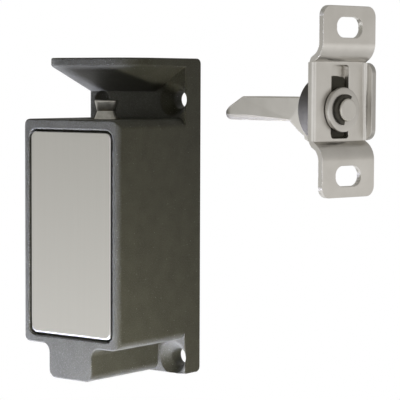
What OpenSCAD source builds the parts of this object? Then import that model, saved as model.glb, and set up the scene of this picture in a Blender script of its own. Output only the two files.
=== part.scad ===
// Electromagnetic cabinet lock: a die-cast case with a solenoid bolt, and the
// keeper whose tongue enters the pocket above the bolt.
// Frame: +Z up, the case's front faces -Y, its mounting face lies on Y = 0.

/* [Case] */
// Height of the mounting plate
lock_h = 80; // [72:0.5:95]
// Width of the case
lock_w = 31.6; // [30.4:0.2:38]
// Depth of the case from the front to the mounting face
lock_d = 32.4; // [31:0.2:38]
// Thickness of the mounting plate
plate_t = 6.4; // [5:0.2:8]
// Radius of the plate's back edges, above and below
plate_r = 1.4; // [0.6:0.2:3]
// Height of the box that holds the solenoid
box_h = 56; // [54:0.5:60]
// Length of the plate below the box
foot_drop = 8.8; // [7:0.2:12]
// Radius of the box's corners as seen from the front
box_r = 2.4; // [1:0.2:3]
// Radius of the box's upright front edges
edge_r = 1.5; // [0.6:0.1:2.4]
// Wall between the solenoid and the sides of the box
side_wall = 4.1; // [3.4:0.1:4.4]
// Wall above the solenoid, which holds the bolt's bush
top_wall = 5; // [4:0.2:7]
// Wall below the solenoid
bottom_wall = 4.4; // [3:0.2:5]

/* [Hood] */
// Reach of the hood in front of the plate
hood_reach = 20.2; // [14:0.2:21]
// Thickness of the hood's rim
hood_t = 2.05; // [1.4:0.05:3]
// Radius of the hood's front corners as seen from above
hood_r = 8; // [2:0.5:9]
// Drop of the hood from its top to its root at the plate
hood_drop = 8.4; // [6:0.2:9.4]
// Length of the lead-in at the mouth, where the tongue enters
lead_in = 10; // [4:0.5:13]

/* [Neck] */
// Width of the cable neck below the box
neck_w = 14; // [11:0.5:18]
// Gap between the neck's lower face and the plate's lower edge
neck_rise = 0.3; // [0:0.1:2]
// Radius of the neck's lower corners
neck_r = 2.2; // [0.6:0.2:3]
// Concave radius between the neck and the box
neck_fillet = 2.2; // [0.6:0.2:2.6]
// Bore of the cable outlet
outlet_d = 7; // [5:0.5:8]
// Place of the outlet behind the front face
outlet_y = 14; // [8:0.5:18]
// Length of the outlet's grommet
grommet_l = 4; // [3:0.5:8]
// Wall of the outlet's grommet
grommet_wall = 1.18; // [0.8:0.02:1.6]

/* [Mounting holes] */
// Bore of the screw holes
hole_d = 4.4; // [3.4:0.1:5]
// Diameter of the countersinks
sink_d = 8.4; // [7:0.1:9]
// Depth of the countersinks
sink_depth = 2.6; // [1.6:0.1:4]
// Distance of the holes from the plate's sides
hole_edge = 3.9; // [3.4:0.1:4.8]
// Upper holes, below the plate's top
hole_top = 10.4; // [9:0.2:12]
// Lower holes, above the plate's bottom
hole_low = 3.9; // [3.7:0.1:6]

/* [Front cover] */
// Width of the case's rim beside the front cover
cover_rim = 2.8; // [1.8:0.1:3.4]
// Height of the case's rim above the front cover
cover_head = 3.1; // [2:0.1:4]
// Thickness of the front cover
cover_t = 1.4; // [1:0.1:2]
// Radius of the cover's corners
cover_r = 1.6; // [0.6:0.2:3]
// Height of the cover's lower edge above the box's lower edge
cover_rise = 2.5; // [1.8:0.1:3.4]
// Gap between the cover and the rim of its recess
cover_gap = 0.6; // [0.3:0.1:0.9]
// Thickness of the gasket behind the cover
gasket_t = 0.4; // [0.2:0.1:0.8]
// Depth of the cover's face below the front of the case
cover_sink = 0.1; // [0:0.05:0.5]

/* [Bolt] */
// Diameter of the bolt
bolt_d = 6; // [5:0.1:6.2]
// Diameter of the bolt's waist
waist_d = 4.6; // [3.6:0.1:5.2]
// Height of the bolt above the box when it is out
bolt_out = 4.75; // [4:0.05:5.5]
// Height of the waist above the box
waist_z = 1.9; // [1.4:0.1:2.4]
// Height of the crown's chamfer
crown = 0.8; // [0.4:0.1:1.2]
// Distance of the bolt in front of the middle of the case's depth
bolt_ahead = 2.4; // [1.6:0.1:3]
// Stroke of the bolt
stroke = 5; // [4:0.1:5.6]
// Running clearance between the bolt and its bush, on the radius
bolt_fit = 0.05; // [0.02:0.01:0.1]
// Wall of the bolt's bush
bush_wall = 1.4; // [1:0.1:2]
// Flange of the bush inside the case
bush_flange = 1; // [0.6:0.1:1.4]
// Diameter of the bolt's stem
stem_d = 4; // [3:0.1:4.4]
// Thickness of the collar on the bolt
collar_t = 1; // [0.8:0.1:1.4]
// Diameter of the collar on the bolt
collar_d = 8.6; // [7.6:0.1:9]
// Length of the stem inside the armature
stem_sink = 6; // [4:0.5:7]
// Diameter of the cross pin
pin_d = 1.56; // [1:0.02:2]

/* [Solenoid] */
// Radius of the cavity's corners
cavity_r = 1.5; // [0.8:0.1:2.5]
// Room between the yoke and the side walls
yoke_air = 2.7; // [2:0.1:4]
// Thickness of the yoke's strap
yoke_t = 2; // [1.5:0.1:2.4]
// Reach of the yoke's arms past the bobbin
yoke_lip = 0.8; // [0.4:0.1:1.4]
// Height of the yoke's fixing ears
ear_h = 6; // [4.5:0.5:6]
// Length of the bobbin
bobbin_l = 20; // [18:0.5:21]
// Diameter of the bobbin's flanges
flange_d = 17; // [15:0.2:18]
// Thickness of the bobbin's flanges
flange_t = 1.2; // [0.8:0.1:2]
// Wall of the bobbin's tube
tube_wall = 0.8; // [0.6:0.1:1.2]
// Diameter of the winding
coil_d = 15.6; // [13:0.2:16.4]
// Diameter of the armature
arm_d = 8; // [7:0.1:9]
// Clearance round the armature, on the radius
arm_gap = 0.3; // [0.2:0.05:0.4]
// Height of the return spring when the bolt is out
spring_h = 9; // [8:0.2:10]
// Wire of the return spring
spring_wire = 0.8; // [0.5:0.1:0.9]
// Turns of the return spring
spring_turns = 4; // [3:1:4]
// Height of the armature's lower end above the bobbin's
arm_room = 9; // [7:0.5:11]
// Diameter of the pole piece's spigot in the yoke
spigot_d = 5; // [4:0.5:6]
// Air left below the armature at the end of its stroke
pole_gap = 0.4; // [0.2:0.1:0.8]
// Thickness of the stop pad on the pole piece
pad_t = 0.6; // [0.4:0.1:1]
// Bore of the yoke's fixing screws
fix_d = 2.5; // [2:0.1:3]
// Depth of the fixing screws in the back wall
fix_depth = 3; // [2:0.1:4]
// Height of the fixing screws' heads
fix_head = 1.6; // [1:0.1:2]

/* [Switch and board] */
// Room between these pieces and the side walls
part_air = 0.3; // [0.1:0.1:0.6]
// Width of the monitor switch
switch_w = 5.8; // [4:0.2:6]
// Length of the monitor switch
switch_l = 12.8; // [10:0.2:14]
// Height of the monitor switch
switch_h = 5; // [4:0.2:5.4]
// Width of the switch's lever
lever_w = 4; // [2:0.2:5]
// Length of the switch's lever
lever_l = 12; // [8:0.5:13]
// Thickness of the switch's lever
lever_t = 0.3; // [0.2:0.1:0.5]
// Thickness of the driver board
board_t = 1.2; // [0.8:0.1:1.6]
// Length of the driver board
board_l = 16; // [12:0.5:18]
// Height of the driver board
board_h = 24; // [16:0.5:28]
// Height of the driver board above the cavity's floor
board_rise = 1.8; // [1.6:0.1:3]
// Width of the terminal block
block_w = 6.5; // [5:0.1:6.6]
// Length of the terminal block
block_l = 7; // [5:0.5:8]
// Height of the terminal block
block_h = 5; // [4:0.5:8]

/* [Keeper] */
// Height of the keeper plate
keeper_h = 42.8; // [38:0.2:50]
// Width of the keeper plate
keeper_w = 16.8; // [15.8:0.2:20]
// Thickness of the keeper's sheet
sheet_t = 1.4; // [1:0.1:2]
// Radius of the keeper's corners
keeper_r = 2.4; // [1:0.2:4]
// Height of the raised middle
middle_h = 17.6; // [17:0.2:20]
// Step between the tabs and the raised middle
joggle = 2.9; // [2.4:0.1:3.6]
// Distance of the right wing's edge below the door face
wing_sink = 0.8; // [0.3:0.1:1.2]
// Reach of the left flange behind the raised middle
flange_back = 1.1; // [0.6:0.1:1.6]
// Radius of the bend between each tab and its step, at the middle of the sheet
bend_r = 3.8; // [3:0.1:4.4]
// Radius of the bend between each step and the raised middle
crease_r = 0.9; // [0.8:0.1:1.2]
// Width of the screw slots in the tabs
slot_h = 4.6; // [3.6:0.1:5]
// Length of the screw slots
slot_l = 8.2; // [6:0.2:10]
// Distance between the screw slots
slot_pitch = 33.2; // [32:0.2:34.2]
// Width of the upright slot in the middle
guide_w = 5.6; // [5.4:0.1:6.2]
// Length of the upright slot
guide_l = 16.6; // [15:0.2:16.8]
// Height of the slot's centre above the tongue
guide_z = 1.8; // [1.4:0.1:2]
// Height of the tongue above the box when it rests in its slot
tongue_lift = 0.45; // [0.3:0.05:1.5]
// Upward float of the tongue in its slot
tongue_float = 2.4; // [1.5:0.1:2.8]

/* [Tongue] */
// Height of the tongue
tongue_h = 5.6; // [5:0.1:6.2]
// Width of the tongue
tongue_w = 7.8; // [7.4:0.2:8.4]
// Reach of the nose from the door face
tongue_reach = 39; // [34:0.2:42]
// Length of the slope on the nose
nose_l = 5.2; // [3:0.2:5.2]
// Height of the nose's blunt end
nose_h = 2.2; // [1.4:0.1:3]
// Place of the bolt's bore behind the tip of the nose
strike_x = 8.4; // [8:0.1:12]
// Bore that the bolt enters
strike_d = 6.6; // [6.4:0.1:6.8]
// Depth of the bore that the bolt enters
strike_depth = 4.6; // [4.4:0.1:4.8]
// Diameter of the stud
stud_d = 5.1; // [4:0.1:5.2]
// Reach of the stud's end, below the door face
stud_sink = 0.1; // [0:0.1:1]
// Diameter of the washer
washer_d = 10.2; // [8:0.2:12]
// Thickness of the washer
washer_t = 1.3; // [0.8:0.1:1.4]
// Diameter of the retaining ring
ring_d = 7; // [6.2:0.1:8]
// Thickness of the retaining ring
ring_t = 0.7; // [0.4:0.1:1]
// Radius of the rubber bumper
bumper_r = 7.6; // [7:0.1:7.8]
// Radius of the bumper's crown
crown_r = 11; // [10:0.5:14]
// Reach of the bumper from the door face
bumper_reach = 12.4; // [11.6:0.2:13.6]
// Length of the bumper's front that the tongue's heel leaves free
heel_back = 1.2; // [0.8:0.1:2]
// Thickness of the tongue's lug behind the upright slot
lug_t = 0.8; // [0.6:0.1:1]
// Width of the tongue's lug
lug_w = 8.6; // [7:0.2:9]
// Depth of the bumper's boss below the front of the raised middle
boss_sink = 0.9; // [0.4:0.1:1]
// Play between sliding keeper pieces
slide_gap = 0.1; // [0.05:0.01:0.2]
// Angle by which the door stands open
door_angle = 11; // [6:0.5:16]
// Distance from the door's hinge to the tongue
door_r = 233; // [200:1:280]

/* [Hidden] */
$fn = 64;

half_w = lock_w / 2;
front = -lock_d;
plate_front = -plate_t;
top = lock_h / 2;
foot = -top;
box_low = foot + foot_drop;
box_top = box_low + box_h;
bolt_y = lock_d / 2 - bolt_ahead;
axis_y = front + bolt_y;
hole_pitch = lock_w - 2 * hole_edge;

cavity_w = lock_w - 2 * side_wall;
cavity_top = box_top - top_wall;
cavity_low = box_low + bottom_wall;
cavity_mid = (cavity_top + cavity_low) / 2;
recess_d = cover_t + gasket_t + cover_sink;
cover_w = lock_w - 2 * cover_rim;
cover_h = box_h - cover_rise - cover_head;
cover_z = box_low + cover_rise + cover_h / 2;
ledge = front + recess_d;

bush_d = bolt_d + 2 * bolt_fit + 2 * bush_wall;
bush_bore = bolt_d + 2 * bolt_fit;
collar_top = cavity_top - bush_flange - 0.1;
collar_low = collar_top - collar_t;
yoke_top = collar_low - spring_h;
bobbin_top = yoke_top - yoke_t;
bobbin_low = bobbin_top - bobbin_l;
yoke_low = bobbin_low - yoke_t;
arm_bore = arm_d + 2 * arm_gap;
arm_top = yoke_top - 0.4;
arm_low = bobbin_low + arm_room;
yoke_w = cavity_w - 2 * yoke_air;
yoke_reach = lock_d - bolt_y - plate_t + flange_d / 2 + yoke_lip;
pin_z = arm_top - stem_sink / 2;
pad_top = arm_low - stroke - pole_gap;
spring_d = collar_d - 0.6;

// The keeper in its own frame: x points to the door and is 0 on the door
// face, z is 0 on the stud. It is swung open about the door's hinge.
tongue_z = box_top + tongue_lift + tongue_h / 2;
door_x = tongue_reach - strike_x;
middle_face = -joggle;
middle_back = middle_face - sheet_t;
washer_face = middle_face + slide_gap + washer_t;
stud_end = -stud_sink;
bend_turn = acos(1 - joggle / (bend_r + crease_r));
step_h = (bend_r + crease_r) * sin(bend_turn);
boss_top = guide_z + guide_l / 2 - tongue_float - 0.3;
boss_low = guide_z - guide_l / 2 + 0.2;
boss_w = guide_w - 0.4;
lug_top = guide_z + guide_l / 2 + 0.2;

// Rectangle with round corners, centred
module round_rect(w, h, r) {
    square([w - 2 * r, h], center = true);
    square([w, h - 2 * r], center = true);
    for (x = [-1, 1], y = [-1, 1])
        translate([x * (w / 2 - r), y * (h / 2 - r)])
            circle(r);
}

// Slab in the XZ plane, from y0 back to y1
module upright(y0, y1) {
    translate([0, y1, 0])
        rotate([90, 0, 0])
            linear_extrude(y1 - y0)
                children();
}

// Slab in the YZ plane, from x0 to x1; the outline's own axes are Y and Z
module sideways(x0, x1) {
    translate([x0, 0, 0])
        rotate([90, 0, 90])
            linear_extrude(x1 - x0)
                children();
}

// Bar or bore along Y
module along_y(d, y0, y1) {
    translate([0, y0, 0])
        rotate([-90, 0, 0])
            cylinder(d = d, h = y1 - y0);
}

// Bar or bore along X
module along_x(d, x0, x1) {
    translate([x0, 0, 0])
        rotate([0, 90, 0])
            cylinder(d = d, h = x1 - x0);
}

module box_shape() {
    intersection() {
        upright(front, plate_front)
            translate([0, (box_low + box_top) / 2])
                round_rect(lock_w, box_h, box_r);
        translate([0, 0, box_low])
            linear_extrude(box_h)
                translate([0, (front - edge_r) / 2])
                    union() {
                        translate([0, edge_r])
                            square([lock_w, lock_d - edge_r], center = true);
                        square([lock_w - 2 * edge_r, lock_d + edge_r], center = true);
                        for (x = [-1, 1])
                            translate([x * (half_w - edge_r), (front + 3 * edge_r) / 2])
                                circle(edge_r);
                    }
    }
}

module plate_shape() {
    intersection() {
        sideways(-half_w, half_w)
            translate([plate_front / 2 - plate_r, 0])
                round_rect(plate_t + 2 * plate_r, lock_h, plate_r);
        translate([-lock_w, plate_front, -lock_h])
            cube([2 * lock_w, lock_d, 2 * lock_h]);
    }
}

// The hood: a rim with round corners, its underside drawn in to a short root on
// the plate, which leaves a lead-in at the right where the tongue enters
module hood_shape() {
    tip = plate_front - hood_reach;
    hull() {
        translate([0, 0, top - hood_t])
            linear_extrude(hood_t)
                union() {
                    translate([-half_w + hood_r, tip])
                        square([lock_w - 2 * hood_r, hood_reach + 1]);
                    translate([-half_w, tip + hood_r])
                        square([lock_w, hood_reach + 1 - hood_r]);
                    for (x = [-1, 1])
                        translate([x * (half_w - hood_r), tip + hood_r])
                            circle(hood_r);
                }
        translate([-half_w, plate_front, top - hood_drop])
            cube([lock_w - lead_in, 1, hood_drop - hood_t]);
    }
}

module neck_shape() {
    low = foot + neck_rise;
    high = box_low + box_r;
    upright(front, plate_front)
        union() {
            translate([-neck_w / 2, low + neck_r])
                square([neck_w, high - low - neck_r]);
            translate([-neck_w / 2 + neck_r, low])
                square([neck_w - 2 * neck_r, neck_r]);
            for (x = [-1, 1])
                translate([x * (neck_w / 2 - neck_r), low + neck_r])
                    circle(neck_r);
            for (x = [-1, 1])
                difference() {
                    translate([x * (neck_w + neck_fillet) / 2, box_low - neck_fillet / 2])
                        square(neck_fillet, center = true);
                    translate([x * (neck_w / 2 + neck_fillet), box_low - neck_fillet])
                        circle(neck_fillet);
                }
        }
}

module hole_places() {
    for (x = [-1, 1], z = [top - hole_top, foot + hole_low])
        translate([x * hole_pitch / 2, 0, z])
            children();
}

module fix_places() {
    for (x = [-1, 1], z = [yoke_top + ear_h / 2, yoke_low - ear_h / 2])
        translate([x * yoke_w / 3, 0, z])
            children();
}

module case() {
    color([0.24, 0.24, 0.25])
        difference() {
            union() {
                box_shape();
                plate_shape();
                hood_shape();
                neck_shape();
            }
            upright(front - 1, ledge)
                translate([0, cover_z])
                    round_rect(cover_w + 2 * cover_gap, cover_h + 2 * cover_gap,
                               cover_r + cover_gap);
            upright(ledge - 1, plate_front)
                translate([0, cavity_mid])
                    round_rect(cavity_w, cavity_top - cavity_low, cavity_r);
            translate([0, axis_y, cavity_top - 1])
                cylinder(d = bush_d + 0.04, h = top_wall + 2);
            translate([0, front + outlet_y, foot - 1])
                cylinder(d = outlet_d, h = cavity_low - foot + 2);
            hole_places()
                along_y(hole_d, plate_front - hood_reach, 1);
            for (z = [top - hole_top, foot + hole_low])
                translate([hole_pitch / 2, 0, z]) {
                    translate([0, plate_front, 0])
                        rotate([-90, 0, 0])
                            cylinder(d1 = sink_d, d2 = hole_d, h = sink_depth);
                    along_y(sink_d, plate_front - hood_reach, plate_front);
                }
            fix_places()
                along_y(fix_d + 0.04, plate_front - 1, plate_front + fix_depth + 0.2);
        }
}

module front_cover() {
    color([0.78, 0.77, 0.74])
        upright(front + cover_sink, front + cover_sink + cover_t)
            translate([0, cover_z])
                round_rect(cover_w, cover_h, cover_r);
}

module cover_gasket() {
    color([0.1, 0.1, 0.1])
        upright(ledge - gasket_t, ledge)
            translate([0, cover_z])
                difference() {
                    round_rect(cover_w - 0.4, cover_h - 0.4, cover_r);
                    translate([0, cavity_mid - cover_z])
                        round_rect(cavity_w, cavity_top - cavity_low, cavity_r);
                }
}

// The bolt: a crowned head, a waist and a shank, with a stem to the armature
module bolt() {
    r = bolt_d / 2;
    shank_low = collar_top + 0.1;
    color([0.6, 0.6, 0.58])
        difference() {
            translate([0, axis_y, 0])
                rotate_extrude()
                    polygon([[0, box_top + bolt_out],
                             [r - crown / 2, box_top + bolt_out],
                             [r - crown / 6, box_top + bolt_out - crown],
                             [waist_d / 2, box_top + waist_z],
                             [r, box_top],
                             [r, shank_low],
                             [stem_d / 2, shank_low],
                             [stem_d / 2, arm_top - stem_sink],
                             [0, arm_top - stem_sink]]);
            translate([0, axis_y, pin_z])
                along_x(pin_d + 0.04, -stem_d, stem_d);
        }
}

module bolt_collar() {
    color([0.3, 0.3, 0.32])
        translate([0, axis_y, collar_low])
            difference() {
                cylinder(d = collar_d, h = collar_t);
                translate([0, 0, -1])
                    cylinder(d = stem_d + 0.04, h = collar_t + 2);
            }
}

module armature() {
    color([0.55, 0.55, 0.56])
        difference() {
            translate([0, axis_y, arm_low])
                cylinder(d = arm_d, h = arm_top - arm_low);
            translate([0, axis_y, arm_top - stem_sink])
                cylinder(d = stem_d + 0.04, h = stem_sink + 1);
            translate([0, axis_y, pin_z])
                along_x(pin_d + 0.04, -arm_d, arm_d);
        }
}

module cross_pin() {
    color([0.65, 0.65, 0.65])
        translate([0, axis_y, pin_z])
            along_x(pin_d, -arm_d / 2 + 0.3, arm_d / 2 - 0.3);
}

// Helical spring with flat-laid ends, swept as rings round the bolt's stem
module return_spring() {
    sides = 8;
    per = 20;
    rings = spring_turns * per;
    r = spring_wire / 2;
    rise = spring_h - spring_wire - 0.1;
    mid_r = spring_d / 2 - r;
    points = [for (i = [0:rings], k = [0:sides - 1])
        let (a = 360 * i / per, b = 360 * k / sides, c = mid_r + r * cos(b))
        [c * cos(a), axis_y + c * sin(a),
         yoke_top + 0.05 + r + rise * i / rings + r * sin(b)]];
    skin = [for (i = [0:rings - 1], k = [0:sides - 1])
        let (j = (k + 1) % sides)
        [i * sides + k, i * sides + j, (i + 1) * sides + j, (i + 1) * sides + k]];
    cap_a = [for (k = [0:sides - 1]) sides - 1 - k];
    cap_b = [for (k = [0:sides - 1]) rings * sides + k];
    color([0.75, 0.75, 0.75])
        polyhedron(points, concat(skin, [cap_a], [cap_b]));
}

module bolt_bush() {
    color([0.72, 0.6, 0.32])
        translate([0, axis_y, 0])
            difference() {
                union() {
                    translate([0, 0, cavity_top])
                        cylinder(d = bush_d, h = top_wall - 0.1);
                    translate([0, 0, cavity_top - bush_flange])
                        cylinder(d = bush_d + 2, h = bush_flange);
                }
                translate([0, 0, cavity_top - bush_flange - 1])
                    cylinder(d = bush_bore, h = top_wall + bush_flange + 2);
            }
}

// Bent strap: a back leg on the case, and an arm above and below the bobbin
module yoke() {
    tip = plate_front - yoke_reach;
    hub = axis_y;
    color([0.5, 0.5, 0.52])
        difference() {
            union() {
                translate([-yoke_w / 2, plate_front - yoke_t, yoke_low - ear_h])
                    cube([yoke_w, yoke_t, yoke_top - yoke_low + 2 * ear_h]);
                for (z = [yoke_low, yoke_top - yoke_t])
                    translate([-yoke_w / 2, tip, z])
                        cube([yoke_w, yoke_reach - yoke_t, yoke_t]);
            }
            translate([0, hub, bobbin_top - 1])
                cylinder(d = arm_bore, h = yoke_t + 2);
            translate([0, hub, yoke_low - 1])
                cylinder(d = spigot_d + 0.04, h = yoke_t + 2);
            fix_places()
                along_y(fix_d + 0.04, plate_front - yoke_t - 1, plate_front + 1);
        }
}

module bobbin() {
    tube_d = arm_bore + 2 * tube_wall;
    color([0.15, 0.15, 0.16])
        translate([0, axis_y, 0])
            difference() {
                union() {
                    translate([0, 0, bobbin_low])
                        cylinder(d = tube_d, h = bobbin_l);
                    for (z = [bobbin_low, bobbin_top - flange_t])
                        translate([0, 0, z])
                            cylinder(d = flange_d, h = flange_t);
                }
                translate([0, 0, bobbin_low - 1])
                    cylinder(d = arm_bore, h = bobbin_l + 2);
            }
}

module coil() {
    tube_d = arm_bore + 2 * tube_wall;
    color([0.72, 0.38, 0.18])
        translate([0, axis_y, bobbin_low + flange_t])
            difference() {
                cylinder(d = coil_d, h = bobbin_l - 2 * flange_t);
                translate([0, 0, -1])
                    cylinder(d = tube_d + 0.04, h = bobbin_l);
            }
}

module pole_piece() {
    color([0.55, 0.55, 0.56])
        translate([0, axis_y, 0]) {
            translate([0, 0, bobbin_low])
                cylinder(d = arm_d, h = pad_top - pad_t - bobbin_low);
            translate([0, 0, yoke_low])
                cylinder(d = spigot_d, h = yoke_t + 0.5);
        }
}

module stop_pad() {
    color([0.2, 0.2, 0.2])
        translate([0, axis_y, pad_top - pad_t])
            cylinder(d = arm_d - 0.4, h = pad_t);
}

module yoke_screws() {
    back = plate_front - yoke_t;
    color([0.7, 0.7, 0.7])
        fix_places() {
            along_y(fix_d, back - 0.1, plate_front + fix_depth);
            along_y(fix_d * 1.8, back - fix_head, back);
        }
}

// Snap switch on the yoke that tells whether the bolt is out
module monitor_switch() {
    color([0.12, 0.12, 0.13])
        translate([-cavity_w / 2 + part_air, axis_y - switch_l / 2, yoke_top])
            cube([switch_w, switch_l, switch_h]);
}

module switch_lever() {
    color([0.75, 0.75, 0.72])
        translate([-cavity_w / 2 + part_air + (switch_w - lever_w) / 2,
                   axis_y - lever_l / 2, yoke_top + switch_h])
            cube([lever_w, lever_l, lever_t]);
}

module driver_board() {
    color([0.08, 0.3, 0.16])
        translate([cavity_w / 2 - part_air - board_t, axis_y - board_l / 2,
                   cavity_low + board_rise])
            cube([board_t, board_l, board_h]);
}

module terminal_block() {
    color([0.15, 0.35, 0.2])
        translate([cavity_w / 2 - part_air - board_t - block_w,
                   axis_y - board_l / 2, cavity_low])
            cube([block_w, block_l, block_h]);
}

module outlet_grommet() {
    low = foot + neck_rise;
    color([0.08, 0.08, 0.08])
        translate([0, front + outlet_y, low])
            difference() {
                cylinder(d = outlet_d - 0.04, h = grommet_l);
                translate([0, 0, -1])
                    cylinder(d = outlet_d - 0.04 - 2 * grommet_wall, h = grommet_l + 2);
            }
}

// Places the keeper: closed on the bolt's line, then swung open by the door
module on_door() {
    translate([door_x, axis_y - door_r, tongue_z])
        rotate([0, 0, -door_angle])
            translate([0, door_r, 0])
                children();
}

// One face of the keeper's sheet from the raised middle up to the upper tab:
// side is 1 for the face to the door and -1 for the other
function step_face(side) = concat(
    [for (i = [0 : 4])
        let (t = 180 - bend_turn * i / 4, r = crease_r - side * sheet_t / 2)
            [middle_face - sheet_t / 2 + crease_r + r * cos(t),
             middle_h / 2 + r * sin(t)]],
    [for (i = [0 : 8])
        let (t = bend_turn * (i / 8 - 1), r = bend_r + side * sheet_t / 2)
            [-sheet_t / 2 - bend_r + r * cos(t),
             middle_h / 2 + step_h + r * sin(t)]]);

// Pressed plate: two slotted tabs on the door, a raised middle between sloping
// steps. The middle has a wing on its right, bent to the door, and a narrow
// flange on its left, bent away from it
module keeper_plate() {
    z0 = guide_z - middle_h / 2;
    a = middle_back;
    s = sheet_t;
    faces = concat(step_face(1), [[0, keeper_h / 2], [-s, keeper_h / 2]],
                   [for (i = [13 : -1 : 0]) step_face(-1)[i]]);
    color([0.74, 0.73, 0.7])
        on_door()
            difference() {
                union() {
                    intersection() {
                        rotate([90, 0, 0])
                            translate([0, guide_z, -keeper_w / 2])
                                linear_extrude(keeper_w)
                                    polygon(concat(faces,
                                        [for (i = [29 : -1 : 0])
                                            [faces[i][0], -faces[i][1]]]));
                        translate([a - 1, 0, guide_z])
                            rotate([90, 0, 90])
                                linear_extrude(joggle + s + 2)
                                    round_rect(keeper_w, keeper_h, keeper_r);
                    }
                    intersection() {
                        translate([a, keeper_w / 2 - 0.2, z0])
                            cube([joggle + s - wing_sink, s, middle_h]);
                        rotate([90, 0, 0])
                            translate([(a - wing_sink) / 2 - keeper_r, guide_z,
                                       -keeper_w])
                                linear_extrude(2 * keeper_w)
                                    round_rect(joggle + s - wing_sink + 2 * keeper_r,
                                               middle_h, keeper_r);
                    }
                    translate([a - flange_back, -keeper_w / 2, z0])
                        cube([flange_back + s, s - slide_gap, middle_h]);
                }
                for (z = [-1, 1])
                    translate([a - 1, 0, guide_z + z * slot_pitch / 2])
                        rotate([90, 0, 90])
                            linear_extrude(joggle + s + 2)
                                round_rect(slot_l, slot_h, slot_h / 2 - 0.05);
                translate([a - 1, 0, guide_z])
                    rotate([90, 0, 90])
                        linear_extrude(s + 2)
                            round_rect(guide_w, guide_l, 0.8);
            }
}

// The tongue's bar, with its sloping nose and the heel that carries it
module tongue() {
    reach = -tongue_reach;
    root = middle_back - slide_gap - 1.2;
    h = tongue_h / 2;
    heel = bumper_r - 0.4;
    flare = heel - h;
    end = -bumper_reach + heel_back;
    color([0.72, 0.71, 0.68])
        on_door()
            difference() {
                union() {
                    intersection() {
                        rotate([90, 0, 0])
                            translate([0, 0, -tongue_w / 2])
                                linear_extrude(tongue_w)
                                    difference() {
                                        polygon([[reach, -h], [reach, -h + nose_h],
                                                 [reach + nose_l, h], [root, h],
                                                 [root, -heel], [end, -heel],
                                                 [end - flare, -h]]);
                                        translate([end - flare, -heel])
                                            circle(flare);
                                    }
                        translate([0, 0, -heel - 1])
                            linear_extrude(heel + h + 2)
                                union() {
                                    translate([reach + tongue_w / 2, -tongue_w / 2])
                                        square([tongue_reach, tongue_w]);
                                    translate([reach + tongue_w / 2, 0])
                                        circle(tongue_w / 2);
                                }
                    }
                    along_x(stud_d, root - 1, stud_end);
                    translate([root - lug_t, -lug_w / 2, h - 1])
                        cube([2 * lug_t, lug_w, lug_top - h + 1]);
                }
                translate([-door_x, 0, -h - 1])
                    cylinder(d = strike_d, h = strike_depth + 1);
            }
}

// Rubber bumper behind the plate, moulded round the tongue's root, with an
// upright boss that guides it in the slot
module keeper_bumper() {
    base = middle_back - slide_gap;
    root = base - 1.2;
    h = tongue_h / 2;
    heel = bumper_r - 0.4;
    mid = -bumper_reach + crown_r;
    side = keeper_w / 2 - sheet_t;
    color([0.09, 0.09, 0.09])
        on_door()
            difference() {
                union() {
                    rotate([0, 90, 0])
                        rotate_extrude()
                            intersection() {
                                translate([0, mid])
                                    circle(crown_r);
                                translate([0, -bumper_reach + 0.2])
                                    square([bumper_r, base + bumper_reach - 0.2]);
                            }
                    translate([base - 0.5, 0, (boss_top + boss_low) / 2])
                        rotate([90, 0, 90])
                            linear_extrude(sheet_t + slide_gap + 0.5 - boss_sink)
                                round_rect(boss_w, boss_top - boss_low, 0.8);
                }
                translate([-bumper_reach - 1, -tongue_w / 2, -heel - 2])
                    cube([root + bumper_reach + 1, tongue_w, heel + 2 + h]);
                along_x(stud_d, root - 2, 1);
                translate([root - lug_t, -lug_w / 2, h - 1])
                    cube([2 * lug_t, lug_w, lug_top - h + 1]);
                translate([middle_back - flange_back - slide_gap, -side - keeper_w,
                           -keeper_h / 2])
                    cube([flange_back + 1, keeper_w, keeper_h]);
            }
}

module keeper_washer() {
    color([0.76, 0.75, 0.72])
        on_door()
            difference() {
                along_x(washer_d, washer_face - washer_t, washer_face);
                along_x(stud_d + 0.04, washer_face - washer_t - 1, washer_face + 1);
            }
}

module retaining_ring() {
    color([0.1, 0.1, 0.1])
        on_door()
            difference() {
                along_x(ring_d, washer_face, washer_face + ring_t);
                along_x(stud_d + 0.04, washer_face - 1, washer_face + ring_t + 1);
            }
}

case();
front_cover();
cover_gasket();
bolt();
bolt_collar();
armature();
cross_pin();
return_spring();
bolt_bush();
yoke();
bobbin();
coil();
pole_piece();
stop_pad();
yoke_screws();
monitor_switch();
switch_lever();
driver_board();
terminal_block();
outlet_grommet();
keeper_plate();
tongue();
keeper_bumper();
keeper_washer();
retaining_ring();
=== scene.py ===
# Looks of the electromagnetic cabinet lock and its keeper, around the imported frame.
# Lengths are in metres, in the frame of the CAD part, unless a comment says millimetres.
import bpy
import bmesh
import math
from mathutils import Matrix, Vector


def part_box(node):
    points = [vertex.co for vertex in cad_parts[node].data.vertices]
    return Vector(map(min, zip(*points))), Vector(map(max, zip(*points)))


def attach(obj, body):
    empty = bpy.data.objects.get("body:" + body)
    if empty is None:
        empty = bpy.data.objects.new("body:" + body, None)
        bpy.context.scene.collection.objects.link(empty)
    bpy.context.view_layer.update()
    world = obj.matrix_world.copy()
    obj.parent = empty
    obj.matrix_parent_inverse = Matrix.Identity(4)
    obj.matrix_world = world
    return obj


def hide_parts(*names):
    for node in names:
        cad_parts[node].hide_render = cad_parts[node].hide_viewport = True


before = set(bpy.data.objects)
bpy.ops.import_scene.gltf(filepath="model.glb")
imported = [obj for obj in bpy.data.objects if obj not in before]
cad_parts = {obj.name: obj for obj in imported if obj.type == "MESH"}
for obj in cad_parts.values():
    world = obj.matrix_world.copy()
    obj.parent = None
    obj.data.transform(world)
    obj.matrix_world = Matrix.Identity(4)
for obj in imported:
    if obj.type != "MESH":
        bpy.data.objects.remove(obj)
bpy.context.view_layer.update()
scene = bpy.context.scene
scene.view_settings.view_transform = "Standard"
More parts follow.
